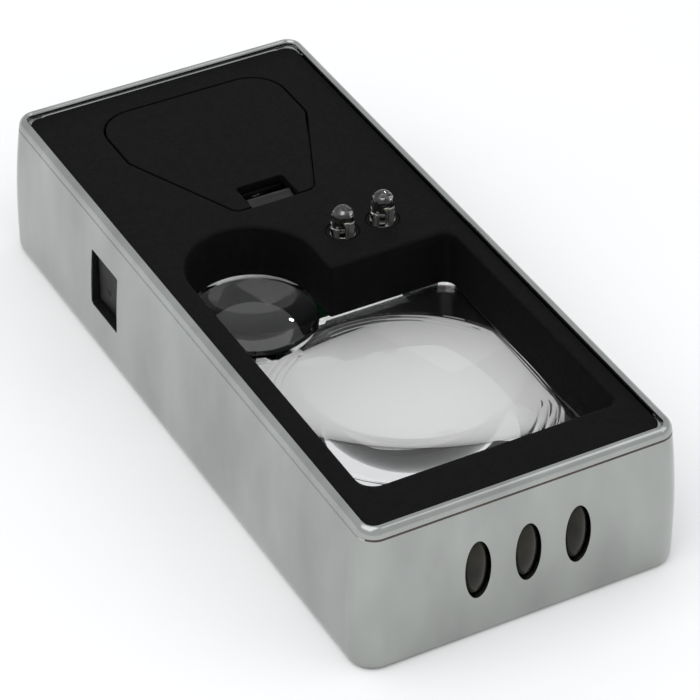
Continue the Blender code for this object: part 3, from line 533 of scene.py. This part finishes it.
def window_lens():
    """Magnifier: a plate with a round dome on each face, a flange, and fine grooves near the upper rim."""
    corners = lens_outline(GAP)
    pieces = []
    for a, b in zip(corners, corners[1:] + corners[:1]):
        pieces.append(max(1, math.ceil(math.dist(a, b) / 0.8)))
    edge = divided(corners, pieces)
    nadir = FLANGE_TOP + FLANGE_BOTTOM - LENS_APEX

    def cap(share, sign):
        """One ring of a face: share runs from 0 at the crown to 1 at the dome's rim and 2 at the wall."""
        ring = []
        for x, y in edge:
            across = Vector((x - LENS_MID[0], y - LENS_MID[1]))
            reach = min(DOME_RADIUS, across.length - 0.04)
            radius = reach * share if share <= 1 else reach + (across.length - reach) * (share - 1)
            px = LENS_MID[0] + across.x / across.length * radius
            py = LENS_MID[1] + across.y / across.length * radius
            drop = cap_drop(min(radius, DOME_RADIUS), DOME_CURVE)
            if sign > 0 and reach > DOME_RADIUS - 0.01:
                for groove in LENS_GROOVES:
                    drop += 0.07 * math.exp(-(((radius - groove) / 0.16) ** 2))
            ring.append((px, py, LENS_APEX - drop if sign > 0 else nadir + drop))
        return ring

    shares = [0.02 + 0.78 * (i / 20) for i in range(21)]
    shares += [0.808 + 0.008 * i for i in range(24)] + [1.0, 1.03, 2.0]
    top = [cap(s, 1) for s in shares]
    bottom = [cap(s, -1) for s in reversed(shares)]
    flange = divided(lens_outline(-WELL_WALL + 0.15), pieces)
    middle = [
        [(x, y, FLANGE_TOP) for x, y in edge],
        [(x, y, FLANGE_TOP) for x, y in flange],
        [(x, y, FLANGE_BOTTOM) for x, y in flange],
        [(x, y, FLANGE_BOTTOM) for x, y in edge],
    ]
    work = bmesh.new()
    rows = add_rings(work, top + middle + bottom)
    work.faces.new(rows[0])
    work.faces.new(rows[-1])
    piece = place(work, "window_magnifier", ACRYLIC, sharp=25)
    piece.visible_shadow = False
    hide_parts("main_lens")


def loupe():
    steps = 20
    top = [(LOUPE_RADIUS * i / steps,
            LOUPE_EDGE_TOP + cap_drop(LOUPE_RADIUS,
                                      LOUPE_CURVE) - cap_drop(LOUPE_RADIUS * i / steps,
                                                              LOUPE_CURVE))
           for i in range(steps + 1)]
    bottom = [(r, FLANGE_BOTTOM + LOUPE_EDGE_TOP - z) for r, z in reversed(top)]
    work = bmesh.new()
    add_turned(work, top + bottom, LOUPE_MID, 96)
    piece = place(work, "loupe_magnifier", ACRYLIC, sharp=25)
    piece.visible_shadow = False
    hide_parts("loupe_lens")


# --- battery bay ----------------------------------------------------------------------------


def door_outline(offset):
    """The fan-shaped door with its latch slot cut into the near edge."""
    half = LATCH_HALF - offset
    far = SLOT_FAR - offset
    near = LATCH_NEAR - offset
    points = outline(DOOR, offset)
    left, rest = points[:9], points[9:]  # the near left corner, and the others
    r = max(0.5 - offset, 0.05)
    slot = [(BAY_X - half, near)]
    for k in range(7):
        a = math.pi - math.pi / 2 * k / 6
        slot.append((BAY_X - half + r + r * math.cos(a), far - r + r * math.sin(a)))
    for k in range(7):
        a = math.pi / 2 - math.pi / 2 * k / 6
        slot.append((BAY_X + half - r + r * math.cos(a), far - r + r * math.sin(a)))
    slot.append((BAY_X + half, near))
    return left + slot + rest


def door():
    work = bmesh.new()
    add_moulding(work, [(door_outline, edge_path(DECK_TOP, DECK_BOTTOM + 0.1, 0.12, -1))])
    add_box(work, (BAY_X - 1.9, BAY_FAR - 2.4, DECK_TOP - 3.0),
            (BAY_X + 1.9, BAY_FAR + 1.3, DECK_BOTTOM - 0.35), 0.2)
    add_box(work, (BAY_X - 1.9, BAY_FAR - 2.4, DECK_TOP - 2.8),
            (BAY_X + 1.9, BAY_FAR - 1.0, DECK_TOP - 1.3), 0.1)
    add_box(work, (BAY_X - 3.3, SLOT_FAR - 0.3, DECK_TOP - 1.95),
            (BAY_X + 3.3, SLOT_FAR + 1.2, DECK_TOP - 1.4), 0.1)
    piece = place(work, "door_panel", DECK_BLACK, "door")
    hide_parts("battery_door")


def latch():
    """Thumb bar with a rounded ridge."""
    profile = [
        (0.1, 19.05), (1.55, 19.05), (1.8, 18.8), (1.9, 17.5), (2.1, 17.3), (2.35, 17.3),
        (2.5, 17.5), (2.5, 19.65),
        (2.42, 19.9), (2.2, 20.12), (1.9, 20.2), (1.6, 20.18), (1.35, 20.05), (1.1, 19.98),
        (0.25, 19.98), (0.1, 19.9),
    ]
    low, high = BAY_X - LATCH_HALF + GAP, BAY_X + LATCH_HALF - GAP
    work = bmesh.new()
    rings = []
    for x, shrink in ((low, 0.12), (low + 0.05, 0.04), (low + 0.15, 0.0), (high - 0.15, 0.0),
                      (high - 0.05, 0.04), (high, 0.12)):
        mid_y, mid_z = 1.6, 19.1
        rings.append([(x, LATCH_NEAR + mid_y + (y - mid_y) * (1 - shrink),
                       mid_z + (z - mid_z) * (1 - shrink)) for y, z in profile])
    rows = add_rings(work, rings)
    work.faces.new(rows[0])
    work.faces.new(rows[-1])
    piece = place(work, "latch_bar", SATIN_BLACK, "latch")
    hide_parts("door_latch")


def cells():
    profile = [
        (0.0, CELL_TOP), (4.2, CELL_TOP), (4.6, CELL_TOP - 0.05), (4.85, CELL_TOP - 0.22),
        (4.95, CELL_TOP - 0.5), (5.1, CELL_TOP - 0.62),
        (5.4, CELL_TOP - 0.62), (5.62, CELL_TOP - 0.7), (5.76, CELL_TOP - 0.86),
        (CELL_RADIUS, CELL_TOP - 1.1),
        (CELL_RADIUS, CELL_BOTTOM + 0.4), (5.72, CELL_BOTTOM + 0.18), (5.5, CELL_BOTTOM + 0.02),
        (5.3, CELL_BOTTOM), (0.0, CELL_BOTTOM),
    ]
    for i, at in enumerate(CELLS):
        work = bmesh.new()
        add_turned(work, profile, at, 64)
        piece = place(work, f"button_cell_{i + 1}", NICKEL)
        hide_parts(f"battery_cell_{i + 1}")


# --- LEDs -----------------------------------------------------------------------------------


def deck_led(number, x, y, top):
    """Clear domed body, tinted grey as painted shade; inside, the two posts, the cup and its phosphor."""
    low, centre = top - 5.6, top - 1.5
    profile = [(1.5 * math.sin(math.pi / 2 * i / 12),
                centre + 1.5 * math.cos(math.pi / 2 * i / 12)) for i in range(13)]
    profile += [(1.55, centre - 0.8), (1.62, low + 1.9), (1.68, low + 1.2), (1.8, low + 0.9),
                (1.9, low + 0.8), (1.9, low + 0.08)]
    profile += [(1.82, low), (0.0, low)]
    work = bmesh.new()
    add_turned(work, profile, (x, y), 48)
    body = place(work, f"deck_led_body_{number}", LED_CLEAR)
    body.visible_shadow = False
    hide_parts(f"deck_led_{number}")
    frame_work = bmesh.new()
    add_box(frame_work, (x - 0.62, y - 0.1, low + 0.2), (x - 0.44, y + 0.1, low + 2.7), 0.03)
    add_box(frame_work, (x + 0.24, y - 0.1, low + 0.2), (x + 0.42, y + 0.1, low + 2.9), 0.03)
    add_turned(frame_work, [(0.0, low + 2.9), (0.12, low + 2.92), (0.18, low + 3.1),
                            (0.22, low + 3.1), (0.18, low + 2.75), (0.0, low + 2.75)], (x + 0.33,
                                                                                        y), 24)
    place(frame_work, f"deck_led_frame_{number}", LED_CUP)
    glow = bmesh.new()
    add_turned(glow, [(0.0, low + 3.05), (0.08, low + 3.04), (0.13, low + 3.01), (0.09, low + 2.94),
                      (0.0, low + 2.94)], (x + 0.33, y), 20)
    place(glow, f"deck_led_phosphor_{number}", PHOSPHOR)


def led_grommet(number, x, y):
    """Black ring round the foot of a deck LED."""
    ring = [(1.75, 19.95), (2.2, 19.95), (2.2, 20.42), (2.12, 20.5), (1.83, 20.5), (1.75, 20.42)]
    work = bmesh.new()
    add_rings(work, [[(px, py, z) for px, py in circle((x, y), r, 36)] for r, z in ring], closed=True)
    place(work, f"led_grommet_{number}", DECK_BLACK)


def front_led(number, x):
    """Oval cabochon in the front wall, with its flange behind it; it is opaque and near black, painted
    shade of the dark case interior seen through clear epoxy.
    """
    flange = INNER_HALF_LENGTH - GAP
    face = CASE_LENGTH / 2 - 0.15 - 0.75
    rings = [(-flange + 0.8, 2.15, 4.65), (-flange, 2.15, 4.65), (-flange, 1.65, 4.15),
             (-(face - 0.1), 1.65, 4.15)]
    for i in range(1, 12):
        angle = math.pi / 2 * i / 12
        share = math.cos(angle)
        rings.append((-(face + 0.9 * math.sin(angle) ** 1.3), 1.65 * share, 4.15 * share))
    work = bmesh.new()
    rows = add_rings(work, [[(px, y, pz) for px, pz in oval(x, a, b)] for y, a, b in rings])
    work.faces.new(rows[0])
    work.faces.new(rows[-1])
    body = place(work, f"front_led_body_{number}", OVAL_LED_PAINTED_SHADE, sharp=50)
    body.visible_shadow = False
    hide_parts(f"front_led_{number}")


# --- switch ---------------------------------------------------------------------------------


def rocker():
    """Key with a dished face and a small dimple."""
    half_y, half_z, steps = 3.6, 4.1, 24
    face = PIVOT_X - 2.05
    work = bmesh.new()
    grid = []
    for i in range(steps + 1):
        row = []
        v = -1 + 2 * i / steps
        for j in range(steps + 1):
            u = -1 + 2 * j / steps
            edge = max(abs(u), abs(v))
            dish = 0.28 * (1 - u * u) * (1 - 0.35 * v * v)
            lip = 0.16 * max(0.0, (edge - 0.93) / 0.07) ** 2
            spot = math.hypot(u * half_y - 0.5, v * half_z + 1.0)
            pit = 0.22 * max(0.0, 1 - (spot / 0.55) ** 2)
            row.append(work.verts.new(((face + dish + lip + pit) * MM, (SWITCH_Y + u * half_y) * MM,
                                       (SWITCH_Z + v * half_z) * MM)))
        grid.append(row)
    for i in range(steps):
        for j in range(steps):
            work.faces.new((grid[i][j], grid[i][j + 1], grid[i + 1][j + 1], grid[i + 1][j]))
    rim = grid[0][:-1] + [grid[i][-1] for i in range(steps)]
    rim += list(reversed(grid[-1]))[:-1] + [grid[i][0] for i in range(steps, 0, -1)]
    back = [work.verts.new(((face + 2.2) * MM, v.co.y, v.co.z)) for v in rim]
    for k in range(len(rim)):
        n = (k + 1) % len(rim)
        work.faces.new((rim[k], rim[n], back[n], back[k]))
    work.faces.new(back)
    add_box(work, (face + 2.0, SWITCH_Y - 1.0, SWITCH_Z - half_z),
            (face + 3.3, SWITCH_Y + 1.0, SWITCH_Z + half_z), 0.2)
    piece = place(work, "rocker_key", SWITCH_BLACK, "rocker")
    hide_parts("switch_rocker")


def switch_sleeve():
    """Thin black sleeve that lines the switch's window."""
    rings = []
    for front, half_y, half_z in ((True, 3.93, 4.33), (False, 3.93, 4.33), (False, 3.86, 4.26),
                                  (True, 3.86, 4.26)):
        ring = []
        for a, b in outline(box_corners(half_y, half_z, 0.3)):
            face = CASE_WIDTH / 2 - wall_inset(SWITCH_Z + b) - 0.12
            ring.append((-face if front else -20.8, SWITCH_Y + a, SWITCH_Z + b))
        rings.append(ring)
    work = bmesh.new()
    add_rings(work, rings, closed=True)
    place(work, "switch_sleeve", SATIN_BLACK)


# --- carried-over nodes ---------------------------------------------------------------------


def dress_nodes():
    """Finishes for the frame's own nodes that still show."""
    finishes = {
        "battery_tray": SATIN_BLACK, "switch_body": SATIN_BLACK, "switch_pivot_pin": STEEL,
        "front_led_board": BOARD,
        "circuit_board": BOARD, "wire_battery_positive": RED, "wire_front_positive": RED,
        "wire_battery_negative": WIRE_BLACK, "wire_front_negative": WIRE_BLACK,
    }
    for name, node in frame["nodes"].items():
        chosen = finishes.get(name)
        if chosen is None:
            if name.startswith("resistor"):
                chosen = RESISTOR
            elif name.startswith(("contact", "switch_terminal")):
                chosen = NICKEL
            elif name.endswith(("anode", "cathode")):
                chosen = LEADS
            elif name.startswith("board_screw"):
                chosen = STEEL
            elif name in ("main_lens", "loupe_lens"):
                chosen = ACRYLIC
            elif name.startswith(("deck_led", "front_led")):
                chosen = LED_CLEAR
            elif name == "chrome_shell":
                chosen = CHROME
            else:
                chosen = DECK_BLACK
        for slot_ in node.material_slots:
            slot_.material = chosen


# --- stage ----------------------------------------------------------------------------------


def stage():
    mesh = bpy.data.meshes.new("floor")
    work = bmesh.new()
    bmesh.ops.create_grid(work, x_segments=8, y_segments=8, size=1.5)
    work.to_mesh(mesh)
    work.free()
    floor = bpy.data.objects.new("floor", mesh)
    bpy.context.scene.collection.objects.link(floor)
    floor.location = (0, 0, -0.00005)
    mesh.materials.append(
        finish("pale_floor", (0.93, 0.93, 0.93), 0.7, specular=0.1, tint=(0.01, 8.0),
               bumps=((400.0, 0.05, 0.02),))
    )
    world = bpy.data.worlds.new("studio")
    world.use_nodes = True
    world.node_tree.nodes["Background"].inputs["Color"].default_value = (0.97, 0.98, 1.0, 1.0)
    world.node_tree.nodes["Background"].inputs["Strength"].default_value = 0.8
    bpy.context.scene.world = world
    for name, energy, size, place_at in (
        ("key", 3.0, 0.9, (-0.35, -0.1, 0.75)),
        ("fill", 0.9, 0.6, (0.6, -0.45, 0.6)),
        ("glint", 0.3, 0.025, (0.372, 0.318, 0.51)),
    ):
        light = bpy.data.lights.new(name, "AREA")
        light.energy, light.size = energy, size
        obj = bpy.data.objects.new(name, light)
        bpy.context.scene.collection.objects.link(obj)
        obj.location = place_at
        obj.rotation_euler = (Vector((0, 0, 0)) - Vector(place_at)).to_track_quat("-Z", "Y").to_euler()
        if name == "glint":
            light.shape = "DISK"
            lit = bpy.data.collections.new("glossy_pieces")
            for piece in bpy.context.scene.objects:
                if piece.name.startswith(("loupe_magnifier", "deck_led_body", "front_led_body")):
                    lit.objects.link(piece)
            bpy.context.scene.collection.children.link(lit)
            obj.light_linking.receiver_collection = lit
    bpy.context.scene.view_settings.view_transform = "Standard"


def camera():
    """The photo's three-quarter view, from above the near left."""
    data = bpy.data.cameras.new("camera")
    data.sensor_width, data.lens = 36.0, CAMERA_LENS
    data.clip_start, data.clip_end = 0.01, 10.0
    obj = bpy.data.objects.new("camera", data)
    bpy.context.scene.collection.objects.link(obj)
    right, down, forward = CAMERA_AXES
    turn = Matrix((right, [-c for c in down], [-c for c in forward])).transposed()
    obj.matrix_world = Matrix.Translation(Vector(CAMERA_PLACE) * MM) @ turn.to_4x4()
    bpy.context.scene.camera = obj


CAMERA_LENS = 176.69
CAMERA_AXES = (
    (0.879559, -0.475785, 0.002207),
    (-0.288286, -0.536617, -0.793053),
    (0.378507, 0.696901, -0.609149),
)
CAMERA_PLACE = (-168.24, -316.19, 281.84)

case_skin()
rim_crease_reflection()
deck()
base()
retainer()
screws()
window_lens()
loupe()
door()
latch()
cells()
for number, (led_x, led_y, led_top) in enumerate(DECK_LEDS):
    deck_led(number + 1, led_x, led_y, led_top)
    led_grommet(number + 1, led_x, led_y)
for number, led_x in enumerate(FRONT_LED_X):
    front_led(number + 1, led_x)
rocker()
switch_sleeve()
dress_nodes()
stage()
camera()
